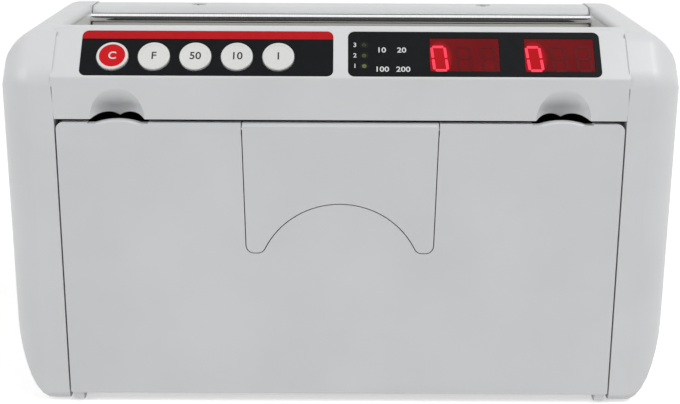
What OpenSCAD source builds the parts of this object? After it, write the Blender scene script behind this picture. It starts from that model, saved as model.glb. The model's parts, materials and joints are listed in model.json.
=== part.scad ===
// Portable banknote counter with an open top hopper and a fold-down tray door.
// Lengths in mm. X across, Y from front to back, Z up from the table.
// Inside the modules Y is counted from the front face of the door;
// shelf() moves each piece so that the origin is under the middle of the body.

/* [Body] */
// Overall width over both side covers
body_w = 207.5; // [204:0.5:212]
// Depth from the door's face to the back
body_d = 95; // [94:1:102]
// Height of the side covers above the table
cover_top = 118; // [117:0.5:119]
// Clear width between the two side frames
inner_w = 173; // [170:0.5:175]
// Wall thickness of the moulded covers
wall = 2.2; // [1.8:0.1:2.4]
// How far the round edge reaches in across the front
edge_x = 10.5; // [8:0.5:12]
// How deep the round edge goes on the front face
edge_front = 9.8; // [7:0.2:11]
// How deep the round edge goes on the top
edge_top = 11.6; // [8:0.2:13]
// How high the round edge goes at the foot
edge_foot = 26; // [18:1:28]
// Gap between neighbouring covers
seam = 0.5; // [0.3:0.1:0.6]
// Height of the body above the table
foot_gap = 0.8; // [0.6:0.1:1]

/* [Control panel] */
// Height of the edge between the upright band and the sloping panel
knee_z = 105.8; // [105.2:0.2:106.4]
// Slope of the panel from the horizontal
panel_slope = 47.5; // [46:0.5:49]
// Length of the sloping panel
panel_len = 17.8; // [17.4:0.1:18.2]
// Depth of the flat behind the panel's top edge
panel_flat = 5.5; // [5:0.1:6]
// Diameter of a key
key_d = 9.6; // [9:0.1:10.2]
// Distance from key to key
key_pitch = 12.5; // [12.3:0.1:12.8]
// Travel of a key
key_travel = 0.5; // [0.3:0.1:0.6]
// Length of each panel label
label_w = 76.2; // [75:0.2:77]
// Width of a digit window
window_w = 21; // [20:0.2:21.6]
// Height of a digit window
window_h = 11.8; // [11:0.1:12.2]
// Width of a finger scoop at the band's lower edge
scoop_w = 16.8; // [15:0.2:18]

/* [Tray door] */
// Height of the door's top edge
door_top = 92; // [91.4:0.1:92.2]
// Thickness of the door
door_t = 3; // [2.8:0.1:3.2]
// Half width of the note stop at its top
flap_half = 29.8; // [28:0.2:31]
// Length of the note stop, top edge to prong tips
flap_len = 41.2; // [40:0.2:42]
// Radius of the arch between the prongs
arch_r = 26; // [25:0.5:27]

/* [Hopper and rollers] */
// Angle of the note path from the horizontal
path_angle = 72; // [71:0.5:73]
// Distance of the guide rod behind the front
rod_y = 66; // [65:0.5:67]
// Height of the guide rod's middle
rod_z = 114; // [113.4:0.2:114.4]
// Diameter of the guide rod
rod_d = 3; // [2.6:0.1:3.2]
// Radius of the pick-up rollers
pick_r = 10; // [9:0.5:10.5]
// Radius of the feed rollers
feed_r = 13; // [12.5:0.25:13.25]
// Radius of the exit rollers
exit_r = 9; // [8.5:0.25:9.25]
// Radius of the pinch rollers
pinch_r = 6; // [5.5:0.25:6.25]
// Distance of a roller from the middle
roller_x = 24; // [20:1:27]
// Width of a feed roller
roller_w = 12; // [9:0.5:13]
// Radius of the drive shafts
shaft_r = 3; // [2.5:0.1:3.2]

/* [Drive] */
// Gear module
gear_m = 0.8; // [0.78:0.01:0.82]
// Teeth of the feed gear
feed_teeth = 27; // [26:1:28]
// Teeth of the idler gear and of the exit gear
small_teeth = 18; // [17:1:19]
// Radius of the motor
motor_r = 12; // [11:0.5:12.5]
// Length of the motor
motor_len = 32; // [28:1:36]
// Radius of the large belt pulley
big_pulley = 12; // [10:0.5:13]
// Radius of the motor's belt pulley
motor_pulley_r = 4; // [3.5:0.25:4.5]

/* [Hidden] */
$fn = 48;
half_w = body_w / 2;
in_x = inner_w / 2;
plate_t = 2;
out_x = in_x + plate_t;
cover_deep = 17.25;
edge_run = edge_x * (half_w - in_x) / cover_deep;
bay = half_w - wall - out_x;
function bay_x(share) = out_x + share * bay;
base_top = foot_gap + wall;
fit = 0.05;

// panel
panel_y = panel_len * cos(panel_slope);
panel_z = knee_z + panel_len * sin(panel_slope);
band_z = door_top + 2 * seam;
bezel_back = panel_y + panel_flat;
bezel_w = inner_w - 0.6 * seam;
board_n = -wall - 7.4;
key_s = 7.4;
key_out = 0.6;
label_h = panel_len - 1.75;
label_mid = 0.66 + label_h / 2;
label_gap = 2.2;
label_len = label_w * inner_w / 173;
label_x = label_gap + label_len / 2;
label_end = label_gap + label_len;
key_x = [for (k = [0:4]) 9.65 - label_end + key_pitch * k];
window_x = [label_end - 41, label_end - 12.4];
lamp_x = label_gap + 4.9;
window_foot = 2.6;
lamp_s = [4.35, 8.05, 11.8];
scoop_x = in_x - 19.2;

// door
door_half = in_x - seam;
door_foot = foot_gap + 2.4;
pivot = [2.8, foot_gap + 5.4];
pin_r = 1.25;
flap_gap = 0.3;
bump_r = scoop_w * 0.756;
bump_up = 0.7;
bump_dip = 0.4;
flap_t = door_t - 0.4;
flap_axis = [door_t / 2, door_top - 1.8];

// note path: y runs up along the path, z towards the front
path_at = [rod_y - rod_d / 2 * sin(path_angle), rod_z + rod_d / 2 * cos(path_angle)];
function path_pt(y, z) = path_at + [y * cos(path_angle) - z * sin(path_angle),
                                    y * sin(path_angle) + z * cos(path_angle)];
pick_c = path_pt(-28, 0.5 - pick_r);
feed_c = path_pt(-56, 0.5 - feed_r);
exit_c = path_pt(-80, 0.3 - exit_r);
pinch_c = path_pt(-80, 0.4 + pinch_r);
motor_c = [body_d - 19, 21];
strip_y = rod_y + 2.3;
strip_z = cover_top - 0.4;
strip_r = 3;
back_room = body_d - strip_y;
back_r = back_room * 0.6;
bar_y = strip_y + back_room * 0.176;
bar_d = back_room * 0.225;
bar_mid = bar_y + bar_d / 2;

// gears: the idler sits behind the line from feed to exit
gear_w = bay * 0.306;
gear_x = bay_x(0.092);
feed_idler = gear_m * (feed_teeth + small_teeth) / 2;
idler_exit = gear_m * small_teeth;
feed_exit = norm(exit_c - feed_c);
along = (exit_c - feed_c) / feed_exit;
idler_t = (pow(feed_idler, 2) - pow(idler_exit, 2) + pow(feed_exit, 2)) / (2 * feed_exit);
idler_h = sqrt(pow(feed_idler, 2) - pow(idler_t, 2));
idler_c = feed_c + along * idler_t + [-along.y, along.x] * idler_h;
function bearing(a, b) = atan2(b.y - a.y, b.x - a.x);
function mesh_phase(a1, z1, z2, b) = b + 180 - (a1 + 180 / z1 - b) * z1 / z2;
idler_phase = mesh_phase(0, feed_teeth, small_teeth, bearing(feed_c, idler_c));
exit_phase = mesh_phase(idler_phase, small_teeth, small_teeth, bearing(idler_c, exit_c));

// placing
module shelf() translate([0, -body_d / 2, 0]) children();
module along_x(c, x = 0) translate([x, c.x, c.y]) rotate([90, 0, 90]) children();
module on_slope() translate([0, 0, knee_z]) rotate([panel_slope, 0, 0]) children();
module on_path() translate([0, path_at.x, path_at.y]) rotate([path_angle, 0, 0]) children();
module profile_x(w) rotate([90, 0, 90]) linear_extrude(w, center = true) children();
module front_plate(t) translate([0, t, 0]) rotate([90, 0, 0]) linear_extrude(t) children();
module both_sides() { children(); mirror([1, 0, 0]) children(); }
module rounded(w, h, r) {
    square([w - 2 * r, h], center = true);
    square([w, h - 2 * r], center = true);
    for (i = [-1, 1], j = [-1, 1]) translate([i * (w / 2 - r), j * (h / 2 - r)]) circle(r);
}
module disc(r, x0, x1) translate([0, 0, x0]) cylinder(r = r, h = x1 - x0);

// outlines with round corners; every edge can move in by its own amount
function unit(v) = v / norm(v);
function turned(v, a) = [v.x * cos(a) - v.y * sin(a), v.x * sin(a) + v.y * cos(a)];
function cross2(a, b) = a.x * b.y - a.y * b.x;
function meet(p, u, q, v) = p + u * cross2(q - p, v) / cross2(u, v);
function inset(pts, ins) = [for (i = [0:len(pts) - 1])
    let (n = len(pts), p = pts[i], u = unit(p - pts[(i + n - 1) % n]), v = unit(pts[(i + 1) % n] - p))
    meet(p + turned(u, 90) * ins[(i + n - 1) % n], u, p + turned(v, 90) * ins[i], v)];
function round_off(pts, radii, steps) = [for (i = [0:len(pts) - 1])
    let (n = len(pts), p = pts[i], u = unit(p - pts[(i + n - 1) % n]), v = unit(pts[(i + 1) % n] - p),
         bend = atan2(cross2(u, v), u * v), r = radii[i],
         c = p - u * r * tan(bend / 2) + turned(u, 90) * r)
    for (k = [0:steps]) c + turned(turned(u, -90) * r, bend * k / steps)];
function sheet(path, t) = let (n = len(path),
    d = [for (i = [0:n - 2]) unit(path[i + 1] - path[i])],
    far = [for (i = [0:n - 1]) i == 0 ? path[0] + turned(d[0], -90) * t
        : i == n - 1 ? path[i] + turned(d[i - 1], -90) * t
        : meet(path[i] + turned(d[i - 1], -90) * t, d[i - 1], path[i] + turned(d[i], -90) * t, d[i])])
    concat(path, [for (i = [n - 1:-1:0]) far[i]]);

// side view of the covers: foot, back, top, slope, front; they stand a little proud of the panel
cover_knee = knee_z + 0.6;
side_pts = [[0, foot_gap], [body_d, foot_gap], [body_d, cover_top],
    [(cover_top - cover_knee) / tan(panel_slope), cover_top], [0, cover_knee]];
edge_in = [edge_foot, 12, edge_top, (edge_top + edge_front) / 2, edge_front];
side_r = [2.7, 8, back_r, 8, 9];
edge_r = [edge_front, 12, 12, edge_front, edge_front];
function side_view(skin, g, steps = 7) = round_off(
    inset(side_pts, [for (e = edge_in) skin + (e - skin) * g]),
    [for (i = [0:4]) max(side_r[i] - skin - (edge_r[i] - skin) * g, 0.8)], steps);

// side cover: one cup with a soft edge, open towards the frame
cup_rings = 8;
function cup_s(k) = sin(90 * k / cup_rings);
function cup_g(k) = k >= cup_rings ? 1 : 1 - pow(1 - pow(cup_s(k), 1.6), 1 / 1.6);
function cup_ring(x, o) = [for (p = o) [x, p.x, p.y]];
function cup_skin(skin) = concat([cup_ring(in_x, side_view(skin, 0))],
    [for (k = [0:cup_rings]) cup_ring(half_w - edge_run + (edge_run - skin) * cup_s(k), side_view(skin, cup_g(k)))]);
module cup() {
    outer = cup_skin(0);
    inner = cup_skin(wall);
    n = len(outer[0]);
    rows = len(outer);
    at_in = n * rows;
    polyhedron(
        points = [for (ring = concat(outer, inner)) for (p = ring) p],
        faces = concat(
            [for (j = [0:rows - 2], i = [0:n - 1]) let (a = j * n + i, b = j * n + (i + 1) % n) each
                [[a, b + n, b], [a, a + n, b + n]]],
            [[for (i = [n - 1:-1:0]) (rows - 1) * n + i]],
            [for (j = [0:rows - 2], i = [0:n - 1]) let (a = at_in + j * n + i, b = at_in + j * n + (i + 1) % n) each
                [[a, b, b + n], [a, b + n, a + n]]],
            [[for (i = [0:n - 1]) at_in + (rows - 1) * n + i]],
            [for (i = [0:n - 1]) let (b = (i + 1) % n) each
                [[i, b, at_in + b], [i, at_in + b, at_in + i]]]));
}
boss_at = [[16, 50], [30, 100], [body_d - 13, 97]];
module side_cover() {
    difference() {
        union() {
            cup();
            for (p = boss_at) along_x(p) disc(3.5, out_x, half_w - wall / 2);
            along_x(pivot) disc(2.7, in_x, in_x + 6);
        }
        for (p = boss_at) along_x(p) disc(1.25, out_x - 1, bay_x(0.61));
        along_x(pivot) disc(pin_r, in_x - 1, in_x + 4.5);
    }
}
module left_side_cover() color("gainsboro") mirror([1, 0, 0]) side_cover();
module right_side_cover() color("gainsboro") side_cover();

// side frames carry the shafts between the covers
screw_at = [24, body_d - 17];
axles = [pick_c, feed_c, exit_c];
module side_frame(right) {
    difference() {
        union() {
            translate([in_x + plate_t / 2, 0, 0]) profile_x(plate_t) difference() {
                polygon(side_view(wall + 0.08, 0));
                translate([-1, -1]) square([10, 14]);
            }
            for (y = screw_at) translate([in_x - 8, y - 5, base_top]) cube([8.5, 10, 3]);
            if (right) along_x(idler_c) disc(2, in_x, gear_x + gear_w + bay * 0.023);
        }
        for (c = axles) along_x(c) disc(shaft_r + 1.5, in_x - 1, out_x + 1);
        along_x(pinch_c) disc(1.5, in_x - 1, out_x + 1);
        along_x([rod_y, rod_z]) disc(rod_d / 2, in_x - 1, out_x + 1);
        for (p = boss_at) along_x(p) {
            disc(1.5, in_x - 1, out_x + 1);
            translate([0, 0, in_x]) cylinder(r1 = 2.9, r2 = 1.5, h = 1.4);
        }
        for (y = screw_at) translate([in_x - 4, y, 0]) cylinder(r = 1.2, h = 12);
        if (right) {
            along_x(motor_c) disc(3, in_x - 1, out_x + 1);
            for (i = [-1, 1]) along_x(motor_c + [8 * i, 0]) disc(1.3, in_x - 1, out_x + 1);
        }
    }
}
module left_frame() color("lightgray") mirror([1, 0, 0]) side_frame(false);
module right_frame() color("lightgray") side_frame(true);

// base, feet, rear cover
feet_x = in_x - 18.5;
feet_y = [19, body_d - 18];
module base_tray() color("silver") difference() {
    translate([-in_x + 0.2, 6.6, foot_gap]) cube([inner_w - 0.4, body_d - 8.4 - 6.6, wall]);
    both_sides() {
        translate([in_x - 5.5, 0, -1]) cube([10, 9.8, 10]);
        for (y = feet_y) translate([feet_x, y, -1]) cylinder(r = 5.5, h = 1.7 + foot_gap);
        for (y = screw_at) translate([in_x - 4, y, -1]) {
            cylinder(r = 1.4, h = 10);
            cylinder(r = 2.8, h = 1.9 + foot_gap);
        }
    }
    for (i = [-5:5]) translate([i * 8, 50, -1]) cube([3, body_d - 71, 10]);
}
module rubber_feet() color("dimgray") both_sides() for (y = feet_y)
    translate([feet_x, y, 0]) {
        cylinder(r1 = 4.9, r2 = 5.4, h = foot_gap * 0.6);
        cylinder(r = 5.2, h = foot_gap + 0.7);
    }

inlet_at = [in_x - 18.5, 66];
switch_at = [in_x - 36.5, 66];
board_z = [36, 100];
module rear_cover() color("gainsboro") difference() {
    union() {
        profile_x(inner_w - 2 * 0.3) difference() {
            polygon(round_off(side_pts + [[0, 0], [0, 0], [0, -0.4], [0, -0.4], [0, 0]], side_r, 9));
            polygon(round_off(inset(side_pts + [[0, 0], [0, 0], [0, -0.4], [0, -0.4], [0, 0]],
                [wall, wall, wall, wall, wall]), [1, 5.8, back_r - wall, 6, 7], 9));
            translate([-5, -5]) square([strip_y + 5, cover_top + 10]);
            translate([0, -5]) square([body_d - 8, 20]);
            translate([strip_y, strip_z - strip_r]) difference() {
                translate([-1, 0]) square([strip_r + 1, strip_r + 1]);
                translate([strip_r, 0]) circle(strip_r);
            }
        }
        for (x = [20.5 - in_x, in_x - 52.5], z = [board_z.x + 4, board_z.y - 4])
            translate([x, body_d - 5.4, z]) rotate([-90, 0, 0]) cylinder(r = 2.6, h = 4);
        for (p = [inlet_at, switch_at]) translate([p.x - 14, body_d - 5, p.y - 14]) cube([28, 4, 28]);
    }
    translate([in_x - 48.5, body_d - 1.6, 56]) cube([42, 4, 20]);
    translate([inlet_at.x, body_d - 8, inlet_at.y]) rotate([-90, 0, 0]) cylinder(r = 4.1, h = 12);
    translate([switch_at.x - 6.6, body_d - 8, switch_at.y - 9.6]) cube([13.2, 12, 19.2]);
    for (x = [-50, 50]) translate([x, bar_mid, strip_z - 6]) {
        cylinder(r = 1.4, h = 12);
        translate([0, 0, 4.9]) cylinder(r = 2.8, h = 5);
    }
}
module tie_bar() color("silver") difference() {
    translate([-in_x, bar_y, strip_z - wall - 6]) cube([inner_w, bar_d, 6]);
    for (x = [-50, 50]) translate([x, bar_mid, strip_z - 20]) cylinder(r = 1.2, h = 30);
}
module case_screws() color("silver") {
    both_sides() {
        for (y = screw_at) translate([in_x - 4, y, foot_gap + 0.3]) {
            cylinder(r = 2.6, h = 0.6);
            cylinder(r = 1.2, h = wall + 2.4);
        }
        for (p = boss_at) along_x(p) {
            translate([0, 0, in_x]) cylinder(r1 = 2.9, r2 = 1.5, h = 1.4);
            disc(1.25, in_x + 1, bay_x(0.46));
        }
    }
    for (x = [-50, 50]) translate([x, bar_mid, strip_z - 6]) {
        cylinder(r = 1.2, h = 5.5);
        translate([0, 0, 4.9]) cylinder(r = 2.6, h = 0.8);
    }
}

// control panel
panel_pts = [[0, band_z], [bezel_back, band_z], [bezel_back, panel_z], [panel_y, panel_z], [0, knee_z]];
guide_pts = [[bezel_back + 0.4, panel_z - 0.8], [bezel_back + 0.4, panel_z - 5],
    path_pt(-31.7, 13.7), path_pt(-49.2, 4.9)];
guide_t = 1.8;
function guide_run(a, b, z) = a.x + (b.x - a.x) * (a.y - z) / (a.y - b.y);
function guide_y(z) = z > guide_pts[2].y ? guide_run(guide_pts[1], guide_pts[2], z)
    : min(guide_pts[2].x, guide_run(guide_pts[2], guide_pts[3], z));
floor_end = guide_y(band_z + wall) - 0.4;
scoop_r = scoop_w * 0.47;
scoop_deep = 6.2;
roll_r = scoop_w * 0.536;
roll_z = band_z + scoop_w * 0.63;
module scoop_dome(r, y0, y1) translate([scoop_x, y0, band_z + scoop_w * 0.143])
    rotate([-90, 0, 0]) cylinder(r = r, h = y1 - y0, $fn = 96);
module scoop_roll(r) along_x([roll_r - fit, roll_z], scoop_x)
    translate([0, 0, -scoop_w]) cylinder(r = r, h = 2 * scoop_w, $fn = 96);
module under_roll() translate([scoop_x - scoop_w, -5, band_z - scoop_w]) cube([2 * scoop_w, 30, roll_z - band_z + scoop_w]);
module scoop_hollow() intersection() {
    difference() {
        scoop_dome(scoop_r, -1, scoop_deep);
        scoop_roll(roll_r);
    }
    under_roll();
}
module scoop_back() intersection() {
    difference() {
        scoop_dome(scoop_r + 1.8, 1, scoop_deep + 2);
        scoop_roll(roll_r - 1.8);
    }
    under_roll();
    translate([0, 0, band_z]) cube([body_w, body_d, knee_z - 1 - band_z]);
}
corner_step = 1;
module label_plate(h) linear_extrude(h) rounded(label_len, label_h, 2);
module front_bezel() color("whitesmoke") difference() {
    union() {
        difference() {
            profile_x(bezel_w) polygon(round_off(panel_pts, [0.1, 0.1, 0.5, 1.2, 1.2], 4));
            profile_x(bezel_w - 2 * wall) polygon(inset(panel_pts, [wall, -5, wall, wall, wall]));
        }
        translate([-bezel_w / 2, 0.5, band_z]) cube([bezel_w, floor_end - 0.5, wall]);
        both_sides() scoop_back();
    }
    both_sides() {
        scoop_hollow();
        for (i = [-1, 1]) translate([scoop_x + i * scoop_w * 0.196, -1, band_z + scoop_w * (0.122 - 0.43)])
            rotate([-90, 0, 0]) cylinder(r = scoop_w * 0.43, h = floor_end + 2, $fn = 96);
        on_slope() translate([bezel_w / 2 - 5, panel_len - 5, -corner_step]) difference() {
            cube([9, 9, 20]);
            translate([0, 0, -1]) cylinder(r = 5, h = 30);
        }
    }
    on_slope() {
        for (i = [-1, 1]) translate([i * label_x, label_mid, -0.4]) label_plate(2);
        for (x = key_x) translate([x, key_s, -wall - 2]) cylinder(r = key_d / 2 + 0.3, h = wall + 4);
        for (x = window_x) translate([x - window_w / 2, window_foot, -wall - 2]) cube([window_w, window_h, wall + 4]);
        for (s = lamp_s) translate([lamp_x, s, -wall - 2]) cylinder(r = 1.15, h = wall + 4);
    }
}
module keypad_label() color("#232626") on_slope() difference() {
    translate([-label_x, label_mid, -0.4]) linear_extrude(0.4) rounded(label_len - 0.1, label_h - 0.1, 1.95);
    for (x = key_x) translate([x, key_s, -3]) cylinder(r = key_d / 2 + 0.3, h = 6);
}
module display_label() color("#232626") on_slope() difference() {
    translate([label_x, label_mid, -0.4]) linear_extrude(0.4) rounded(label_len - 0.1, label_h - 0.1, 1.95);
    for (x = window_x) translate([x - window_w / 2, window_foot, -3]) cube([window_w, window_h, 6]);
    for (s = lamp_s) translate([lamp_x, s, -3]) cylinder(r = 1.15, h = 6);
}
module display_filters() color("#731c1e") on_slope() for (x = window_x)
    translate([x - window_w / 2 + fit, window_foot + fit, -wall]) cube([window_w - 2 * fit, window_h - 2 * fit, wall - 0.05]);

module key_cap(i) on_slope() translate([key_x[i], key_s, 0]) {
    translate([0, 0, -wall - 0.5]) cylinder(r = key_d / 2, h = wall + 0.1 + key_out);
    translate([0, 0, key_out - 0.4]) cylinder(r1 = key_d / 2, r2 = key_d / 2 - 0.8, h = 0.4);
    translate([0, 0, -wall - 1.3]) cylinder(r = key_d / 2 + 0.9, h = 1);
    translate([0, 0, -wall - 4.2]) cylinder(r = 1.5, h = 3.5);
}
module clear_key() color("firebrick") key_cap(0);
module function_key() color("gainsboro") key_cap(1);
module fifty_key() color("gainsboro") key_cap(2);
module ten_key() color("gainsboro") key_cap(3);
module one_key() color("gainsboro") key_cap(4);
module key_switches() color("#303030") on_slope() for (x = key_x) translate([x, key_s, board_n]) difference() {
    translate([-3, -3, 0]) cube([6, 6, 3.6]);
    translate([0, 0, 3.6 - 0.8 - key_travel - 0.5]) cylinder(r = 1.9, h = 5);
}
module control_board() color("darkgreen") on_slope()
    translate([6.5 - in_x, 0.8, board_n - 1.6]) cube([inner_w - 13, 14.4, 1.6]);
module digit_modules() color("#202020") on_slope() for (x = window_x)
    translate([x - 11.3, 1, board_n]) cube([22.6, 13.6, 7.2]);
module level_lamps() color("seagreen") on_slope() for (s = lamp_s) translate([lamp_x, s, board_n]) {
    cylinder(r = 1, h = -board_n - 0.7);
    translate([0, 0, -board_n - 0.7]) sphere(1);
}

// tray door with its note stop
flap_in = 0.9;
module stop_sides(h) polygon([[-flap_half, door_top], [-flap_half + flap_in * h / flap_len, door_top - h],
    [flap_half - flap_in * h / flap_len, door_top - h], [flap_half, door_top]]);
module stop_shape() {
    stop_sides(6);
    offset(r = 2.4) offset(delta = -2.4) difference() {
        stop_sides(flap_len);
        translate([0, door_top - 25.3 - arch_r]) circle(arch_r, $fn = 96);
    }
}
module stop_opening() {
    offset(delta = flap_gap) stop_shape();
    translate([-flap_half - flap_gap, door_top - 4]) square([2 * (flap_half + flap_gap), 8]);
}
module tray_door() color("lightgray") difference() {
    union() {
        front_plate(door_t) difference() {
            union() {
                polygon(round_off([[-door_half, door_foot], [door_half, door_foot],
                    [door_half, door_top], [-door_half, door_top]], [0.8, 0.8, 2.2, 2.2], 6));
                for (i = [-1, 1]) translate([i * scoop_x, door_top + bump_up - bump_r]) circle(bump_r, $fn = 96);
            }
            stop_opening();
            for (i = [-1, 1]) translate([i * scoop_x, door_top]) difference() {
                translate([-scoop_w * 0.55, -bump_dip]) square([scoop_w * 1.1, 4]);
                translate([0, bump_up - bump_r]) circle(bump_r, $fn = 96);
            }
        }
        both_sides() {
            translate([in_x - 2.9, 0, 0]) profile_x(3.2) intersection() {
                translate(pivot) circle(5.8);
                translate([0.3, -1]) square([6, 14]);
            }
            translate([in_x - 3.1, door_t - 1, 16]) cube([1.8, 4, door_top - 22]);
        }
    }
    both_sides() {
        along_x(pivot) disc(pin_r + fit, in_x - 6.5, in_x + 3.5);
        along_x(flap_axis) disc(0.8 + fit, flap_half - 1, flap_half + 4.6);
    }
}
module door_hinge_pins() color("silver") both_sides() along_x(pivot) disc(pin_r, in_x - 4.9, in_x + 4.3);
module note_stop() color("lightgray") difference() {
    front_plate(flap_t) stop_shape();
    both_sides() along_x(flap_axis) disc(0.8, flap_half - 5, flap_half + 4);
    translate([-flap_half - 10, -0.01, door_top - 1.1]) rotate([-35, 0, 0]) translate([0, -3, 0]) cube([2 * flap_half + 20, 3, 4]);
}
module stop_hinge_pins() color("silver") both_sides() along_x(flap_axis) disc(0.8, flap_half - 4.8, flap_half + 4.3);

// hopper
module hopper_guide() color("#303030") profile_x(inner_w) polygon(sheet(guide_pts, -guide_t));
chute_side = 0.8;
module hopper_chute() color("lightgray") on_path() difference() {
    translate([-in_x, -64, -2.3]) cube([inner_w, 64 - rod_d / 2 - 0.2, 2]);
    for (i = [-1, 1]) translate([i * roller_x, 0, 0]) {
        translate([-6.2, -28 - 8.4, -4]) cube([12.4, 16.8, 6]);
        translate([-roller_w / 2 - 1, -66, -4]) cube([roller_w + 2, 19.4, 6]);
    }
    translate([-6, -47, -4]) cube([12, 6, 6]);
    for (i = [-1, 1]) translate([i * in_x - chute_side, -chute_side * 12, -4]) cube([2 * chute_side, 40, 6]);
}
module magnetic_head() color("silver") on_path() {
    translate([-5.9, -46.9, -6]) cube([11.8, 5.8, 5.7]);
    translate([-9, -48.5, -5]) cube([18, 9, 2.7]);
}
module guide_rod() color("silver") along_x([rod_y, rod_z]) disc(rod_d / 2, -out_x, out_x);
module retard_bracket() color("silver") on_path() {
    translate([-in_x, -62, 3.2]) cube([inner_w, 11.4, 1.8]);
    translate([-in_x, -62, 4.5]) cube([inner_w, 1.6, 4.5]);
}
module retard_pads() color("dimgray") on_path() for (i = [-1, 1])
    translate([i * roller_x - 5, -61, 0.75]) cube([10, 10, 2.45]);
module sensor_bar(y, z, d) on_path() {
    translate([-in_x, y, z]) cube([inner_w, 4.4, 1.6]);
    for (x = [-60, -36, 36, 60]) translate([x, y + 2.2, z + 0.8]) rotate([d > 0 ? 0 : 180, 0, 0]) cylinder(r = 1.5, h = 1.8);
}
module front_sensor_bar() color("darkgreen") sensor_bar(-71.6, 2.9, -1);
module rear_sensor_bar() color("darkgreen") sensor_bar(-71.6, -3.8, 1);

// rollers on their shafts
module roller(r, w, core) rotate_extrude() difference() {
    translate([core, -w / 2]) square([r - core, w]);
    for (g = [-1:1]) translate([r, g * w / 4]) circle(0.6, $fn = 16);
}
module roller_pair(c, r, w) for (i = [-1, 1]) along_x(c, i * roller_x) roller(r, w, shaft_r);
module pickup_shaft() color("silver") along_x(pick_c) disc(shaft_r, -bay_x(0.65), bay_x(0.138));
module feed_shaft() color("silver") along_x(feed_c) disc(shaft_r, -bay_x(0.65), bay_x(0.88));
module exit_shaft() color("silver") along_x(exit_c) disc(shaft_r, -bay_x(0.345), bay_x(0.43));
module pickup_rollers() color("dimgray") roller_pair(pick_c, pick_r, 10);
module feed_rollers() color("dimgray") roller_pair(feed_c, feed_r, roller_w);
module exit_rollers() color("dimgray") for (x = [-48, 0, 48]) along_x(exit_c, x) roller(exit_r, 10, shaft_r);
module pinch_rollers() color("whitesmoke") for (x = [-48, 0, 48]) along_x(pinch_c, x) roller(pinch_r, 9, 1.5 + fit);
module pinch_axle() color("silver") along_x(pinch_c) disc(1.5, -out_x, out_x);
module shaft_bushes() color("peru") both_sides() for (c = axles) along_x(c) difference() {
    union() {
        disc(shaft_r + 1.5, in_x, bay_x(0.02));
        disc(shaft_r + 2.6, out_x, bay_x(0.06));
    }
    disc(shaft_r + fit, in_x - 1, out_x + 2);
}

// gears and belts
function inv_pt(rb, r, turn, side) = let (a = acos(min(1, rb / r)), t = tan(a) * 180 / PI - a)
    turned([r, 0], side * (turn - t));
module gear(z, bore, phase) {
    rp = gear_m * z / 2;
    rb = rp * cos(20);
    ra = rp + gear_m * 0.92;
    rf = rp - gear_m * 1.25;
    half = 90 / z - 0.06 / rp * 180 / PI + (tan(20) * 180 / PI - 20);
    rs = [for (k = [0:4]) max(rb, rf + 0.15) + (ra - max(rb, rf + 0.15)) * k / 4];
    linear_extrude(gear_w) difference() {
        polygon([for (i = [0:z - 1]) each concat(
            [turned([rf, 0], phase + 360 / z * i - half - 0.4)],
            [for (r = rs) turned(inv_pt(rb, r, half, -1), phase + 360 / z * i)],
            [for (k = [4:-1:0]) turned(inv_pt(rb, rs[k], half, 1), phase + 360 / z * i)],
            [turned([rf, 0], phase + 360 / z * i + half + 0.4)])]);
        circle(bore);
    }
}
module feed_gear() color("ivory") along_x(feed_c, gear_x) gear(feed_teeth, shaft_r, 0);
module idler_gear() color("ivory") along_x(idler_c, gear_x) gear(small_teeth, 2 + fit, idler_phase);
module exit_gear() color("ivory") along_x(exit_c, gear_x) gear(small_teeth, shaft_r, exit_phase);

belt_x = bay_x(0.475);
pulley_w = bay * 0.383;
module pulley(r, bore) rotate_extrude() polygon([[bore, 0], [r + 1.3, 0],
    [r + 1.3, pulley_w * 0.16], [r, pulley_w * 0.16], [r, pulley_w * 0.84], [r + 1.3, pulley_w * 0.84],
    [r + 1.3, pulley_w], [bore, pulley_w]]);
module belt_area(a, ra, b, rb) {
    f = bearing(a, b);
    g = acos((ra - rb) / norm(b - a));
    translate(a) circle(ra);
    translate(b) circle(rb);
    polygon([a + turned([ra, 0], f + g), a + turned([ra, 0], f - g),
        b + turned([rb, 0], f - g), b + turned([rb, 0], f + g)]);
}
module belt(a, ra, b, rb, x) translate([x, 0, 0]) rotate([90, 0, 90]) linear_extrude(pulley_w * 0.6) difference() {
    belt_area(a, ra + 1 + fit, b, rb + 1 + fit);
    belt_area(a, ra + fit, b, rb + fit);
}
small_pulley = 6;
module drive_pulley() color("ivory") along_x(feed_c, belt_x) pulley(big_pulley, shaft_r);
module motor_pulley() color("silver") {
    along_x(motor_c, belt_x) pulley(motor_pulley_r, 1);
    along_x(motor_c) disc(1, in_x + 0.5, belt_x + pulley_w);
}
module transfer_pulley() color("ivory") along_x(feed_c, -belt_x) pulley(small_pulley, shaft_r);
module pickup_pulley() color("ivory") along_x(pick_c, -belt_x) pulley(small_pulley, shaft_r);
module drive_belt() color("#202020") belt(feed_c, big_pulley, motor_c, motor_pulley_r, belt_x + pulley_w * 0.2);
module pickup_belt() color("#202020") belt(feed_c, small_pulley, pick_c, small_pulley, -belt_x + pulley_w * 0.2);
module drive_motor() color("silver") along_x(motor_c) difference() {
    union() {
        disc(motor_r, in_x - motor_len, in_x);
        disc(3, in_x - 1, out_x);
        disc(4, in_x - motor_len - 2, in_x - 1);
    }
    disc(1 + fit, in_x - 2, out_x + 1);
    for (i = [-1, 1]) translate([8 * i, 0, 0]) disc(1.1, in_x - 5, in_x + 1);
}

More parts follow.
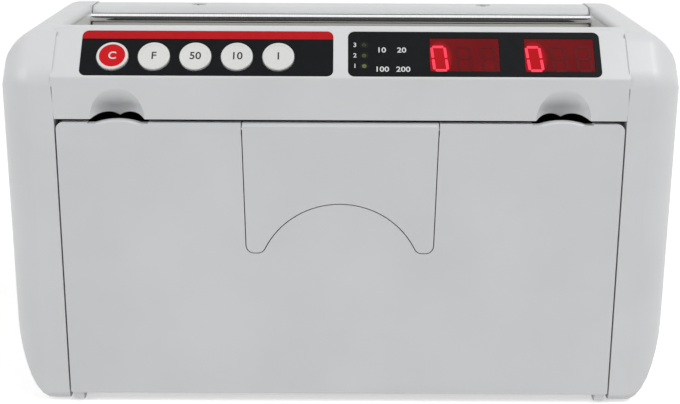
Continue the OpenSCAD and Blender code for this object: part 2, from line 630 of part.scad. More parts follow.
// electronics
module encoder_disc() color("#303030") along_x(exit_c, -bay_x(0.306)) difference() {
    cylinder(r = 11, h = bay * 0.061);
    translate([0, 0, -1]) cylinder(r = shaft_r, h = 4);
    for (a = [0:30:330]) rotate(a) translate([7.6, -0.7, -1]) cube([2.4, 1.4, 4]);
}
module encoder_sensor() color("#303030") translate([-bay_x(0.613), exit_c.x - 16, exit_c.y - 3]) difference() {
    cube([bay * 0.613, 10, 6]);
    translate([bay * 0.245, 4, -1]) cube([bay * 0.184, 10, 8]);
}
module main_board() color("darkgreen") {
    translate([11.5 - in_x, body_d - 7, board_z.x]) cube([inner_w - 58, 1.6, board_z.y - board_z.x]);
    for (p = [[-60, 48, 26, 14, 4], [-20, 62, 22, 22, 3], [10, 44, 12, 12, 6], [-62, 80, 18, 10, 5]])
        translate([p[0], body_d - 7 - p[4], p[1]]) cube([p[2], p[4] + 0.5, p[3]]);
}
module power_inlet() color("#202020") translate([inlet_at.x, 0, inlet_at.y]) difference() {
    union() {
        translate([-5, body_d - 16, -6]) cube([10, 11, 12]);
        translate([0, body_d - 7, 0]) rotate([-90, 0, 0]) cylinder(r = 4, h = 5.3);
    }
    translate([0, body_d - 12, 0]) rotate([-90, 0, 0]) difference() {
        cylinder(r = 2.8, h = 14);
        translate([0, 0, -1]) cylinder(r = 1, h = 10);
    }
}
rocker_at = [body_d - 4.4, switch_at.y];
module power_switch() color("#202020") translate([switch_at.x, 0, switch_at.y]) difference() {
    union() {
        translate([-6.5, body_d - 16, -9.5]) cube([13, 14.6, 19]);
        translate([-7.4, body_d - 1.6, -10]) cube([14.8, 1, 20]);
    }
    translate([-5.1, body_d - 9, -8.1]) cube([10.2, 14, 16.2]);
    along_x([body_d - 4.4, 0]) disc(1 + fit, -6, 6);
}
module power_rocker() color("#303030") translate([switch_at.x, 0, 0]) along_x(rocker_at) {
    translate([0, 0, -4.8]) linear_extrude(9.6) polygon([[-2, -2], [-2, 2], [2.6, 7.5], [3.4, 7.5], [2.6, 0], [4.2, -7.2], [3.3, -7.4]]);
    disc(1, -5.9, 5.9);
}

shelf() base_tray();
shelf() rubber_feet();
shelf() left_side_cover();
shelf() right_side_cover();
shelf() left_frame();
shelf() right_frame();
shelf() tie_bar();
shelf() rear_cover();
shelf() front_bezel();
shelf() case_screws();
shelf() keypad_label();
shelf() display_label();
shelf() display_filters();
shelf() clear_key();
shelf() function_key();
shelf() fifty_key();
shelf() ten_key();
shelf() one_key();
shelf() key_switches();
shelf() control_board();
shelf() digit_modules();
shelf() level_lamps();
shelf() tray_door();
shelf() door_hinge_pins();
shelf() note_stop();
shelf() stop_hinge_pins();
shelf() hopper_guide();
shelf() hopper_chute();
shelf() guide_rod();
shelf() pickup_shaft();
shelf() pickup_rollers();
shelf() pickup_pulley();
shelf() feed_shaft();
shelf() feed_rollers();
shelf() feed_gear();
shelf() drive_pulley();
shelf() transfer_pulley();
shelf() exit_shaft();
shelf() exit_rollers();
shelf() exit_gear();
shelf() encoder_disc();
shelf() idler_gear();
shelf() pinch_axle();
shelf() pinch_rollers();
shelf() shaft_bushes();
shelf() drive_motor();
shelf() motor_pulley();
shelf() drive_belt();
shelf() pickup_belt();
shelf() retard_bracket();
shelf() retard_pads();
shelf() front_sensor_bar();
shelf() rear_sensor_bar();
shelf() magnetic_head();
shelf() encoder_sensor();
shelf() main_board();
shelf() power_inlet();
shelf() power_switch();
shelf() power_rocker();
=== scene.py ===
import json
import math

import bmesh
import bpy
from mathutils import Matrix, Vector


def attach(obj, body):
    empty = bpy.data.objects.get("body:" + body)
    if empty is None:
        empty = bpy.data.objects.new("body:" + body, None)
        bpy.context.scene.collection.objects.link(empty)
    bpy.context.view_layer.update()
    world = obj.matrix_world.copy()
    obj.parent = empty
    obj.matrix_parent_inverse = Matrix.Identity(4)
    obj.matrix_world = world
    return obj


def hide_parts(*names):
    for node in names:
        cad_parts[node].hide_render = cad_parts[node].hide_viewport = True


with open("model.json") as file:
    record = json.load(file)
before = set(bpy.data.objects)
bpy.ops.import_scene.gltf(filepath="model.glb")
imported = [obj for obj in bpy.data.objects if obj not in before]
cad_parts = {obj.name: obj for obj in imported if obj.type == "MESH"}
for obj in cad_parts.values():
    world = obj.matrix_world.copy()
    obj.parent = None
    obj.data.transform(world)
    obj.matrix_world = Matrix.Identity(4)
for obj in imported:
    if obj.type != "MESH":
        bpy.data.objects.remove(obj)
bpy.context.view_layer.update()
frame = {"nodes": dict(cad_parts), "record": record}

# Base tray: the floor plate that the side frames are screwed to. It is moulded in
# pale grey ABS with a fine texture from the tool, and slotted for cooling air.
home = {n: b for b, ns in frame["record"]["behaviour"]["bodies"].items() for n in ns}


def linear(red, green, blue):
    """A colour in 0 to 255 as the shader wants it."""
    return tuple(
        v / 12.92 if v <= 0.04045 else ((v + 0.055) / 1.055) ** 2.4
        for v in (red / 255, green / 255, blue / 255)
    ) + (1,)


def alone(obj):
    """Makes obj the only one selected, ready for an operator."""
    bpy.ops.object.select_all(action="DESELECT")
    bpy.context.view_layer.objects.active = obj
    obj.select_set(True)


def pick(obj, kind, test):
    """In edit mode, selects the points, edges or faces that pass the test."""
    bpy.ops.mesh.select_mode(type=kind)
    bpy.ops.mesh.select_all(action="DESELECT")
    mesh = bmesh.from_edit_mesh(obj.data)
    for part in {"VERT": mesh.verts, "EDGE": mesh.edges, "FACE": mesh.faces}[kind]:
        if test(part):
            part.select_set(True)
    bmesh.update_edit_mesh(obj.data)


def ease(obj, width, segments=2, angle=32):
    """Rounds the sharp edges as the mould does, and shades the rest smooth."""
    alone(obj)
    if width:
        round_over = obj.modifiers.new("eased edges", "BEVEL")
        round_over.width = width
        round_over.segments = segments
        round_over.limit_method = "ANGLE"
        round_over.angle_limit = math.radians(angle)
        round_over.use_clamp_overlap = True
        bpy.ops.object.modifier_apply(modifier=round_over.name)
    bpy.ops.object.shade_smooth_by_angle(angle=math.radians(angle))
    even = obj.modifiers.new("flat faces kept flat", "WEIGHTED_NORMAL")
    even.keep_sharp = True
    bpy.ops.object.modifier_apply(modifier=even.name)


def whole_copy(node, piece):
    """The node's form as one closed mesh, to be worked on by hand."""
    obj = bpy.data.objects.new(piece, frame["nodes"][node].data.copy())
    bpy.context.scene.collection.objects.link(obj)
    alone(obj)
    bpy.ops.object.mode_set(mode="EDIT")
    bpy.ops.mesh.select_all(action="SELECT")
    bpy.ops.mesh.remove_doubles(threshold=2e-6)
    bpy.ops.mesh.dissolve_limited(angle_limit=math.radians(0.4))
    bpy.ops.object.mode_set(mode="OBJECT")
    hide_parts(node)
    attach(obj, home[node])
    return obj


def fine_copy(node, piece, edge, segments=2, angle=32):
    """The node's form with the eased edges that come out of the mould."""
    obj = whole_copy(node, piece)
    ease(obj, edge, segments, angle)
    return obj


def finish(obj, slot, *skins):
    """Puts the materials on a piece. The slot is not used."""
    obj.data.materials.clear()
    for skin in skins:
        obj.data.materials.append(skin)


def new_skin(name):
    """A material with its shader and the piece's own coordinates."""
    skin = bpy.data.materials.new(name)
    skin.use_nodes = True
    nodes = skin.node_tree.nodes
    place = nodes.new("ShaderNodeTexCoord").outputs["Object"]
    return skin, nodes, skin.node_tree.links, nodes["Principled BSDF"], place


def stretched(nodes, links, place, scale):
    """The same coordinates drawn out along an axis."""
    draw = nodes.new("ShaderNodeMapping")
    draw.inputs["Scale"].default_value = scale
    links.new(place, draw.inputs["Vector"])
    return draw.outputs["Vector"]


def noise(nodes, links, place, scale, detail=2.0):
    """An even mottle, scale cells to the metre."""
    cloud = nodes.new("ShaderNodeTexNoise")
    cloud.inputs["Scale"].default_value = scale
    cloud.inputs["Detail"].default_value = detail
    links.new(place, cloud.inputs["Vector"])
    return cloud.outputs["Fac"]


def between(nodes, links, source, low, high):
    """A mottle brought to the range low to high."""
    reach = nodes.new("ShaderNodeMapRange")
    reach.inputs["From Min"].default_value = 0.25
    reach.inputs["From Max"].default_value = 0.75
    reach.inputs["To Min"].default_value = low
    reach.inputs["To Max"].default_value = high
    links.new(source, reach.inputs["Value"])
    return reach.outputs["Result"]


def tinted(nodes, links, source, dark, light):
    """A mottle as colour, from dark to light."""
    ramp = nodes.new("ShaderNodeValToRGB")
    ramp.color_ramp.elements[0].position = 0.3
    ramp.color_ramp.elements[0].color = dark
    ramp.color_ramp.elements[1].position = 0.7
    ramp.color_ramp.elements[1].color = light
    links.new(source, ramp.inputs["Fac"])
    return ramp.outputs["Color"]


def bumped(nodes, links, shader, source, strength, depth):
    """Raises the surface by the mottle, depth in metres."""
    bump = nodes.new("ShaderNodeBump")
    bump.inputs["Strength"].default_value = strength
    bump.inputs["Distance"].default_value = depth
    links.new(source, bump.inputs["Height"])
    links.new(bump.outputs["Normal"], shader.inputs["Normal"])


def shade(colour, amount):
    """The colour a little darker or lighter."""
    return tuple(min(1, v * amount) for v in colour[:3]) + (1,)


def moulded(
    name, colour, rough, grain=4200, depth=0.00003, strength=0.12, drift=0.03, shine=0.5
):
    """Moulded plastic: fine tool texture, slow drift of tone and of gloss."""
    skin, nodes, links, shader, place = new_skin(name)
    slow = noise(nodes, links, place, 34, 3)
    links.new(
        tinted(nodes, links, slow, shade(colour, 1 - drift), shade(colour, 1 + drift)),
        shader.inputs["Base Color"],
    )
    patchy = noise(nodes, links, place, 260, 3)
    links.new(
        between(nodes, links, patchy, rough - 0.05, rough + 0.05),
        shader.inputs["Roughness"],
    )
    fine = noise(nodes, links, place, grain, 2)
    bumped(nodes, links, shader, fine, strength, depth)
    shader.inputs["Specular IOR Level"].default_value = shine
    return skin


frame_grey = moulded("frame_grey", linear(234, 234, 231), 0.46, 3600)
base_tray = fine_copy("base_tray", "base_tray_moulding", 0.0004)
finish(base_tray, "frame_plastic", frame_grey)

# Rubber feet: four soft black discs pressed into the tray's corner holes.
# They are moulded in rubber, with a raised rim round a shallow cup that grips.
FOOT_RIM = 0.0011
CUP_WALL = 0.0003
CUP_DEEP = 0.0004
rubber_black = moulded(
    "rubber_black", linear(38, 38, 38), 0.78, 2600, 0.00006, 0.3, 0.12
)
rubber_feet = whole_copy("rubber_feet", "rubber_feet_moulding")
bpy.ops.object.mode_set(mode="EDIT")
pick(
    rubber_feet,
    "FACE",
    lambda f: f.normal.z < -0.99 and f.calc_center_median().z < 1e-5,
)
bpy.ops.mesh.inset(thickness=FOOT_RIM)
bpy.ops.mesh.inset(thickness=CUP_WALL)
bpy.ops.transform.translate(value=(0, 0, CUP_DEEP))
bpy.ops.object.mode_set(mode="OBJECT")
ease(rubber_feet, 0.00015)
finish(rubber_feet, "rubber", rubber_black)

# Side frames and tie bar: the two moulded plates that carry every shaft, joined
# at the back by a folded steel bar. They are screwed down to the tray.
for side in ("left", "right"):
    plate = fine_copy(f"{side}_frame", f"{side}_frame_moulding", 0.0001)
    finish(plate, "frame_plastic", frame_grey)


def ground_metal(name, colour, rough, along, depth=0.000012, strength=0.25):
    """Metal with the fine lines left by grinding or drawing along one axis."""
    skin, nodes, links, shader, place = new_skin(name)
    lines = noise(nodes, links, stretched(nodes, links, place, along), 1, 3)
    links.new(
        tinted(nodes, links, lines, shade(colour, 0.88), shade(colour, 1.06)),
        shader.inputs["Base Color"],
    )
    links.new(
        between(nodes, links, lines, rough - 0.07, rough + 0.09),
        shader.inputs["Roughness"],
    )
    shader.inputs["Metallic"].default_value = 1
    bumped(nodes, links, shader, lines, strength, depth)
    return skin


ALONG_X = (60, 5200, 5200)
AROUND_X = (5200, 60, 60)
plate_metal = ground_metal("plate_metal", linear(206, 208, 210), 0.36, ALONG_X)
tie_bar = fine_copy("tie_bar", "tie_bar_fold", 0.0002)
finish(tie_bar, "plate_metal", plate_metal)

# Drive motor: a small drawn steel can held to the right frame by two screws. Its
# shaft goes through the plate and carries a turned brass pulley with flanges.
motor_steel = ground_metal("motor_steel", linear(170, 171, 172), 0.34, AROUND_X)
motor = fine_copy("drive_motor", "drive_motor_can", 0.0003, 3)
finish(motor, "steel", motor_steel)
turned_brass = ground_metal("turned_brass", linear(214, 186, 118), 0.30, AROUND_X)
pulley = fine_copy("motor_pulley", "motor_pulley_turned", 0.00015)
finish(pulley, "pulley_metal", turned_brass)

# Shafts and their bushes: ground steel rods that run through both frames, each
# in a sintered bronze bush pressed into the plate.
ground_steel = ground_metal("ground_steel", linear(198, 199, 201), 0.22, AROUND_X)
for node in ("feed_shaft", "pickup_shaft", "exit_shaft", "pinch_axle"):
    rod = fine_copy(node, f"{node}_rod", 0.0002)
    finish(rod, "steel", ground_steel)
sintered_bronze = ground_metal(
    "sintered_bronze", linear(176, 140, 84), 0.46, (2400, 2400, 2400), 0.00002, 0.35
)
bushes = fine_copy("shaft_bushes", "shaft_bushes_turned", 0.00015)
finish(bushes, "bush_brass", sintered_bronze)

# Rollers: grooved rubber tyres fixed on the shafts of the pick-up, the feed and
# the exit, which drive the notes. The small nylon pinch rollers run free.
for node in ("pickup_rollers", "feed_rollers", "exit_rollers"):
    tyre = fine_copy(node, f"{node}_tyres", 0.0003, 3)
    finish(tyre, "rubber", rubber_black)
nylon = moulded("nylon", linear(232, 228, 214), 0.42, 1800, 0.00002, 0.1, 0.02)
pinch = fine_copy("pinch_rollers", "pinch_rollers_moulding", 0.0003, 3)
finish(pinch, "gear_plastic", nylon)

# Gear train: three spur gears of natural nylon on the feed, idler and exit
# shafts, cut with involute teeth so that the exit runs faster than the feed.
for node in ("feed_gear", "idler_gear", "exit_gear"):
    wheel = fine_copy(node, f"{node}_wheel", 0.00008, 1)
    finish(wheel, "gear_plastic", nylon)

# Pulleys and belts: moulded nylon pulleys with flat rubber belts. On the right one
# runs from the motor to the feed, on the left one from the feed to the pick-up.
for node in ("drive_pulley", "transfer_pulley", "pickup_pulley"):
    wheel = fine_copy(node, f"{node}_moulding", 0.0002)
    finish(wheel, "gear_plastic", nylon)
for node in ("drive_belt", "pickup_belt"):
    belt = fine_copy(node, f"{node}_loop", 0.0001)
    finish(belt, "rubber", rubber_black)


# Counting sensors: two narrow boards with lamps and cells across the note path,
# the slotted encoder disc with its fork, and the magnetic head in the chute.
def lacquered_board(name, colour, track):
    """Green lacquer, with the tracks under it a little lighter and proud."""
    skin, nodes, links, shader, place = new_skin(name)
    cells = nodes.new("ShaderNodeTexVoronoi")
    cells.feature = "DISTANCE_TO_EDGE"
    cells.distance = "MANHATTAN"
    cells.inputs["Scale"].default_value = 320
    links.new(place, cells.inputs["Vector"])
    lanes = nodes.new("ShaderNodeMapRange")
    lanes.inputs["From Min"].default_value = 0.06
    lanes.inputs["From Max"].default_value = 0.12
    lanes.inputs["To Min"].default_value = 1
    lanes.inputs["To Max"].default_value = 0
    links.new(cells.outputs["Distance"], lanes.inputs["Value"])
    links.new(
        tinted(nodes, links, lanes.outputs["Result"], colour, track),
        shader.inputs["Base Color"],
    )
    mottle = noise(nodes, links, place, 900)
    links.new(
        between(nodes, links, mottle, 0.24, 0.36), shader.inputs["Roughness"]
    )
    bumped(nodes, links, shader, lanes.outputs["Result"], 0.4, 0.00004)
    return skin


board_green = lacquered_board("board_green", linear(16, 92, 48), linear(40, 128, 70))
for node in ("front_sensor_bar", "rear_sensor_bar"):
    bar = fine_copy(node, f"{node}_card", 0.0001)
    finish(bar, "board_green", board_green)
black_plastic = moulded(
    "black_plastic", linear(46, 47, 48), 0.44, 3000, 0.00003, 0.2, 0.08
)
for node in ("encoder_sensor", "encoder_disc"):
    part = fine_copy(node, f"{node}_moulding", 0.0002)
    finish(part, "black_plastic", black_plastic)
head = fine_copy("magnetic_head", "magnetic_head_can", 0.0002)
finish(head, "steel", ground_steel)

# Retard bracket and pads: a folded steel bracket that holds two rubber pads
# against the feed rollers, so that only one note passes at a time.
bracket = fine_copy("retard_bracket", "retard_bracket_fold", 0.00015)
finish(bracket, "plate_metal", plate_metal)
pads = fine_copy("retard_pads", "retard_pads_rubber", 0.0003)
finish(pads, "rubber", rubber_black)

# Circuit boards: glass-fibre boards in green lacquer with fine copper tracks
# under it. The main board stands at the back, the key board under the panel.
BOARD_FACE = 0.0405
LACQUER = 0.00015
for node in ("main_board", "control_board"):
    board = fine_copy(node, f"{node}_card", 0.0001)
    finish(board, "board_green", board_green, black_plastic)
    if node == "main_board":
        for face in board.data.polygons:
            face.material_index = 1 if face.center.y < BOARD_FACE - LACQUER else 0
switches = fine_copy("key_switches", "key_switches_cases", 0.0002)
finish(switches, "black_plastic", black_plastic)
digit_cases = fine_copy("digit_modules", "digit_modules_cases", 0.0002)
finish(digit_cases, "black_plastic", black_plastic)

# Hopper: a black front guide behind the panel and the steep grey chute that the
# notes lean on, with a polished steel rod across the top of the chute.
guide = fine_copy("hopper_guide", "hopper_guide_moulding", 0.0003)
finish(guide, "black_plastic", black_plastic)
chute_grey = moulded("chute_grey", linear(178, 176, 170), 0.46, 3600)
chute = fine_copy("hopper_chute", "hopper_chute_moulding", 0.0003)
finish(chute, "frame_plastic", chute_grey)
polished = ground_metal(
    "polished", linear(246, 246, 247), 0.07, AROUND_X, 0.000002, 0.05
)
lean_rod = fine_copy("guide_rod", "guide_rod_polished", 0.0003, 3)
finish(lean_rod, "polished_rod", polished)

# Rear cover: the moulded back wall, rolled over into the strip behind the rod and
# held by two screws in the tie bar. It carries the power socket and the switch.
shell_grey = moulded("shell_grey", linear(214, 215, 216), 0.40)
rear = fine_copy("rear_cover", "rear_cover_moulding", 0.0003)
finish(rear, "shell", shell_grey)
INLET = Vector((0.068, 0, 0.066))
PIN_R = 0.00105
PIN_ROOT = 0.0362
inlet = fine_copy("power_inlet", "power_inlet_moulding", 0.0002)
finish(inlet, "black_plastic", black_plastic, ground_steel)
for face in inlet.data.polygons:
    off_axis = (face.center - INLET).xz.length
    on_pin = off_axis < PIN_R and face.center.y > PIN_ROOT
    face.material_index = 1 if on_pin else 0
switch = fine_copy("power_switch", "power_switch_moulding", 0.0003)
finish(switch, "black_plastic", black_plastic)
rocker = fine_copy("power_rocker", "power_rocker_moulding", 0.0004, 3)
finish(rocker, "black_plastic", black_plastic)
white_ink = moulded("white_ink", linear(214, 216, 216), 0.5, 6000, 0.00001, 0.1, 0.02)
INK_THICK = 0.00001
INK_SPREAD = 0.016


def flat_text(name, words, size):
    """Printed signs a hair thick, as a mesh lying flat at the origin."""
    bpy.ops.object.select_all(action="DESELECT")
    bpy.ops.object.text_add()
    text = bpy.context.object
    text.name = name
    text.data.body = words
    text.data.size = size
    text.data.align_x = "CENTER"
    text.data.align_y = "CENTER"
    text.data.extrude = INK_THICK
    text.data.offset = size * INK_SPREAD
    text.data.resolution_u = 4
    bpy.ops.object.convert(target="MESH")
    return bpy.context.object


SIGN_SIZE = 0.0036
for name, words, lean, spot in (
    ("rocker_sign_on", "I", 6.1, (0.05, 0.04611, 0.06975)),
    ("rocker_sign_off", "O", -12.5, (0.05, 0.04651, 0.0624)),
):
    sign = flat_text(name, words, SIGN_SIZE)
    sign.rotation_euler = (math.radians(90 + lean), 0, math.pi)
    sign.location = spot
    alone(sign)
    bpy.ops.object.transform_apply(location=True, rotation=True, scale=True)
    finish(sign, "black_plastic", white_ink)
    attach(sign, home["power_rocker"])

# Case screws: twelve steel screws with a pressed cross recess. Four hold the frames
# down to the tray, six hold the side covers and two the strip behind the rod.
HEAD_ROUND = 0.00025
SLOT_WIDE = 0.0006
SLOT_TALL = 0.0009


def cross_screw(name, head, neck, deep, shank, length):
    """A turned head with its top at the origin, a cross cut in it, and a shank."""
    bpy.ops.object.select_all(action="DESELECT")
    bpy.ops.mesh.primitive_cone_add(
        vertices=48, radius1=neck, radius2=head, depth=deep, location=(0, 0, -deep / 2)
    )
    screw = bpy.context.object
    screw.name = name
    bpy.ops.object.transform_apply(location=True, rotation=False, scale=False)
    bpy.ops.object.mode_set(mode="EDIT")
    pick(screw, "FACE", lambda f: f.normal.z < -0.99)
    bpy.ops.mesh.inset(thickness=neck - shank)
    bpy.ops.mesh.extrude_region_move(TRANSFORM_OT_translate={"value": (0, 0, -length)})
    pick(screw, "EDGE", lambda e: all(v.co.z > -1e-6 for v in e.verts))
    bpy.ops.mesh.bevel(offset=HEAD_ROUND, segments=3, profile=0.5)
    bpy.ops.object.mode_set(mode="OBJECT")
    for turn in (0, 90):
        bpy.ops.mesh.primitive_cube_add(size=1, rotation=(0, 0, math.radians(turn)))
        blade = bpy.context.object
        blade.scale = (head * 1.15, SLOT_WIDE, SLOT_TALL)
        alone(blade)
        bpy.ops.object.transform_apply(location=True, rotation=True, scale=True)
        cut = screw.modifiers.new("cross recess", "BOOLEAN")
        cut.operation = "DIFFERENCE"
        cut.object = blade
        alone(screw)
        bpy.ops.object.modifier_apply(modifier=cut.name)
        bpy.data.objects.remove(blade)
    bpy.ops.object.shade_smooth_by_angle(angle=math.radians(32))
    return screw


HALF_BAY = 0.0865
TRAY_SPOTS = ((0.0825, -0.0235, 0.0011), (0.0825, 0.0305, 0.0011))
COVER_SPOTS = (
    (HALF_BAY, -0.0315, 0.05),
    (HALF_BAY, -0.0175, 0.1),
    (HALF_BAY, 0.0345, 0.097),
)
STRIP_SPOTS = ((0.05, 0.0285, 0.1173),)
STRIP_TURN = 0.4
tray_screw = cross_screw(
    "tray_screw", head=0.0026, neck=0.0026, deep=0.0006, shank=0.0012, length=0.004
)
strip_screw = cross_screw(
    "strip_screw", head=0.0026, neck=0.0026, deep=0.0008, shank=0.0012, length=0.0049
)
cover_screw = cross_screw(
    "cover_screw", head=0.0028, neck=0.0015, deep=0.0014, shank=0.00125, length=0.0066
)
driven = []
for way in (1, -1):
    for pattern, spots, turn in (
        (tray_screw, TRAY_SPOTS, (math.pi, 0, 0)),
        (cover_screw, COVER_SPOTS, (0, -way * math.pi / 2, 0)),
        (strip_screw, STRIP_SPOTS, (0, 0, STRIP_TURN)),
    ):
        for across, back, up in spots:
            screw = pattern.copy()
            screw.data = pattern.data.copy()
            bpy.context.scene.collection.objects.link(screw)
            screw.location = (way * across, back, up)
            screw.rotation_euler = turn
            alone(screw)
            bpy.ops.object.transform_apply(location=True, rotation=True, scale=True)
            driven.append(screw)
for pattern in (tray_screw, strip_screw, cover_screw):
    bpy.data.objects.remove(pattern)
bpy.ops.object.select_all(action="DESELECT")
for screw in driven:
    screw.select_set(True)
bpy.context.view_layer.objects.active = driven[0]
bpy.ops.object.join()
screws = bpy.context.object
screws.name = "case_screws_turned"
finish(screws, "steel", ground_steel)
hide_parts("case_screws")
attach(screws, home["case_screws"])

# Front bezel: the moulded head of the case in pale ABS, with a sloping panel for
# the labels and, over the door, two finger scoops that each lean in to a pair of
# arched openings. It clips between the side covers.
FRONT = -0.0475
BAND_FOOT = 0.093
BAND_HEAD = 0.1050
END_REACH = HALF_BAY - 0.0004
BAND_DRAW = 0.00006
SLOPE_DRAW = 0.0005
SCOOP_ACROSS = 0.0673
SCOOP_WIDE = 0.0083
SCOOP_TOP = 0.0097
SCOOP_LEAN = 1.3
SCOOP_TURN = 0.58
SCOOP_UPRIGHT = 0.78
SCOOP_LAYERS = 30
SCOOP_LOWEST = 1.1
SLIVER = 0.00001
PLUG_R = 0.0089
PLUG_FOOT = BAND_FOOT + SLIVER
PLUG_UP = BAND_FOOT + 0.0024
PLUG_SKIN = 0.000004
PLUG_END = 0.0085
ARCH_R = 0.0070
ARCH_ACROSS = 0.00395
ARCH_TOP = BAND_FOOT + 0.0014
ARCH_BEGIN = -0.001
FLOOR_END = 0.0217


def bored(name, radius, across, height, begin, end):
    """A round bar from front to back, to fill or to cut the bezel with."""
    bpy.ops.object.select_all(action="DESELECT")
    bpy.ops.mesh.primitive_cylinder_add(
        vertices=96,
        radius=radius,
        depth=end - begin,
        location=(across, FRONT + (begin + end) / 2, height),
        rotation=(math.radians(90), 0, 0),
    )
    bar = bpy.context.object
    bar.name = name
    bpy.ops.object.transform_apply(location=True, rotation=True, scale=True)
    return bar


def worked(obj, tool, how):
    """Joins the tool to the piece or cuts it away, and clears the tool off."""
    alone(obj)
    cut = obj.modifiers.new("worked", "BOOLEAN")
    cut.operation = how
    cut.solver = "EXACT"
    cut.object = tool
    bpy.ops.object.modifier_apply(modifier=cut.name)
    bpy.data.objects.remove(tool)


def sunk(share):
    """Depth of a scoop behind the face at a share of its height from the top."""
    share = min(share, SCOOP_UPRIGHT)
    past = max(share - SCOOP_TURN, 0)
    back = 1 + SCOOP_TURN / (SCOOP_UPRIGHT - SCOOP_TURN)
    return SCOOP_TOP * SCOOP_LEAN * (share**2 - back * past**2)


def spread(share):
    """Half the width of a scoop on the face at a share of its height."""
    return SCOOP_WIDE * math.sqrt(share * (2 - share))


def scoop_cutter(across):
    """The hollow for a fingertip: a stack of ovals that leans out of the face.

    The middle of each oval is as far before the face as the hollow is deep there.
    """
    shares = [
        SCOOP_LOWEST * (1 - step / SCOOP_LAYERS) ** 2 for step in range(SCOOP_LAYERS)
    ]
    rims = [
        (spread(at) / math.sqrt(0.75), 2 * sunk(at), SCOOP_TOP * (1 - at))
        for at in shares
    ]
    wide, deep, low = rims[0]
    bpy.ops.object.select_all(action="DESELECT")
    bpy.ops.mesh.primitive_circle_add(
        vertices=128,
        radius=wide,
        fill_type="NGON",
        location=(across, FRONT - deep / 2, BAND_FOOT + low),
    )
    hollow = bpy.context.object
    hollow.name = "scoop_tool"
    hollow.scale = (1, deep / wide, 1)
    bpy.ops.object.transform_apply(location=True, rotation=True, scale=True)
    bpy.ops.object.mode_set(mode="EDIT")
    bpy.ops.mesh.select_all(action="SELECT")
    for (wide, deep, low), (next_wide, next_deep, high) in zip(rims, rims[1:]):
        bpy.ops.mesh.extrude_region_move(
            TRANSFORM_OT_translate={"value": (0, (deep - next_deep) / 2, high - low)}
        )
        bpy.ops.transform.resize(
            value=(next_wide / wide, next_deep / deep, 1),
            center_override=(across, FRONT - next_deep / 2, 0),
        )
    bpy.ops.mesh.select_all(action="SELECT")
    bpy.ops.mesh.normals_make_consistent(inside=False)
    bpy.ops.object.mode_set(mode="OBJECT")
    return hollow


bezel = whole_copy("front_bezel", "front_bezel_moulding")
bpy.ops.object.mode_set(mode="EDIT")
for way in (1, -1):
    pick(bezel, "VERT", lambda v, way=way: v.co.x * way > END_REACH)
    bpy.ops.transform.translate(value=(way * BAND_DRAW, 0, 0))
    pick(
        bezel,
        "VERT",
        lambda v, way=way: v.co.x * way > END_REACH and v.co.z > BAND_HEAD,
    )
    bpy.ops.transform.translate(value=(way * SLOPE_DRAW, 0, 0))
bpy.ops.object.mode_set(mode="OBJECT")
ease(bezel, 0.00025)
for across in (-SCOOP_ACROSS, SCOOP_ACROSS):
    plug = bored("scoop_plug", PLUG_R, across, PLUG_UP, PLUG_SKIN, PLUG_END)
    bpy.ops.object.mode_set(mode="EDIT")
    bpy.ops.mesh.select_all(action="SELECT")
    bpy.ops.mesh.bisect(
        plane_co=(0, 0, PLUG_FOOT),
        plane_no=(0, 0, 1),
        use_fill=True,
        clear_inner=True,
    )
    bpy.ops.object.mode_set(mode="OBJECT")
    worked(bezel, plug, "UNION")
    worked(bezel, scoop_cutter(across), "DIFFERENCE")
    for way in (-1, 1):
        middle = across + way * ARCH_ACROSS
        height = ARCH_TOP - ARCH_R
        arch = bored("arch_tool", ARCH_R, middle, height, ARCH_BEGIN, FLOOR_END)
        worked(bezel, arch, "DIFFERENCE")
ease(bezel, 0)
finish(bezel, "shell", shell_grey)

# Panel labels: two printed films in shallow recesses of the slope, black with a
# red stripe over the keys. The panel's knee and slope place all that is on it.
SLOPE = math.radians(47.5)
KNEE = Vector((0, FRONT, 0.1058))
STRIPE = 0.0138


def on_slope(obj, across, up, out=0.0):
    """Lays a piece that was made flat on the panel, measured from its knee."""
    obj.rotation_euler = (SLOPE, 0, 0)
    obj.location = KNEE + Vector(
        (
            across,
            up * math.cos(SLOPE) - out * math.sin(SLOPE),
            up * math.sin(SLOPE) + out * math.cos(SLOPE),
        )
    )
    alone(obj)
    bpy.ops.object.transform_apply(location=True, rotation=True, scale=True)


def reckoned(nodes, links, how, first, second):
    """Works two values into one, each a socket or a plain number."""
    working = nodes.new("ShaderNodeMath")
    working.operation = how
    for value, spot in zip((first, second), working.inputs):
        if isinstance(value, float):
            spot.default_value = value
        else:
            links.new(value, spot)
    return working.outputs["Value"]


def printed_film(name, ground, stripe=None):
    """Printed polyester film: a faint orange peel, and a stripe along its top."""
    skin, nodes, links, shader, place = new_skin(name)
    mottle = noise(nodes, links, place, 420)
    colour = tinted(nodes, links, mottle, shade(ground, 0.86), shade(ground, 1.14))
    if stripe:
        lay = nodes.new("ShaderNodeMapping")
        lay.vector_type = "TEXTURE"
        lay.inputs["Location"].default_value = KNEE
        lay.inputs["Rotation"].default_value = (SLOPE, 0, 0)
        links.new(place, lay.inputs["Vector"])
        axes = nodes.new("ShaderNodeSeparateXYZ")
        links.new(lay.outputs["Vector"], axes.inputs["Vector"])
        above = reckoned(nodes, links, "GREATER_THAN", axes.outputs["Y"], STRIPE)
        blend = nodes.new("ShaderNodeMix")
        blend.data_type = "RGBA"
        links.new(above, blend.inputs["Factor"])
        links.new(colour, blend.inputs["A"])
        links.new(
            tinted(nodes, links, mottle, shade(stripe, 0.96), shade(stripe, 1.04)),
            blend.inputs["B"],
        )
        colour = blend.outputs["Result"]
    links.new(colour, shader.inputs["Base Color"])
    shader.inputs["Specular IOR Level"].default_value = 0.1
    links.new(between(nodes, links, mottle, 0.34, 0.44), shader.inputs["Roughness"])
    bumped(nodes, links, shader, noise(nodes, links, place, 1500), 0.05, 0.00002)
    return skin


